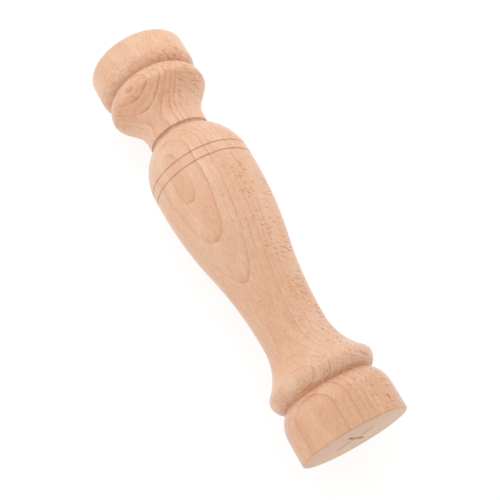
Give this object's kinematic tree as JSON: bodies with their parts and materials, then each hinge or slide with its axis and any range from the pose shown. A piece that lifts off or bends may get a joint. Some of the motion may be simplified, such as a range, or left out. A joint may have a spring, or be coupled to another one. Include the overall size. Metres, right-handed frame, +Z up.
{
  "type": "carving mallet",
  "caption": "Turned beech carving mallet: flat-ended block, bead, waisted grip swelling to a scored bulb, quirked neck, cove, lip and knob.",
  "frame": {"origin": "centre of the flat end face of the block, on the turning axis", "axes": "+X along the turning axis, from the flat end face towards the knob; +Z up, with the mallet lying on its side as on a bench"},
  "size_m": [0.252, 0.06, 0.06],
  "materials": {
    "turned_beech": "sanded beech, unvarnished, matt",
    "dowel_beech": "planed beech dowel rod with pressed flutes, matt"
  },
  "bodies": {
    "root": {"mallet_body": "turned_beech", "end_knob": "turned_beech", "joint_dowel": "dowel_beech"}
  },
  "joints": []
}
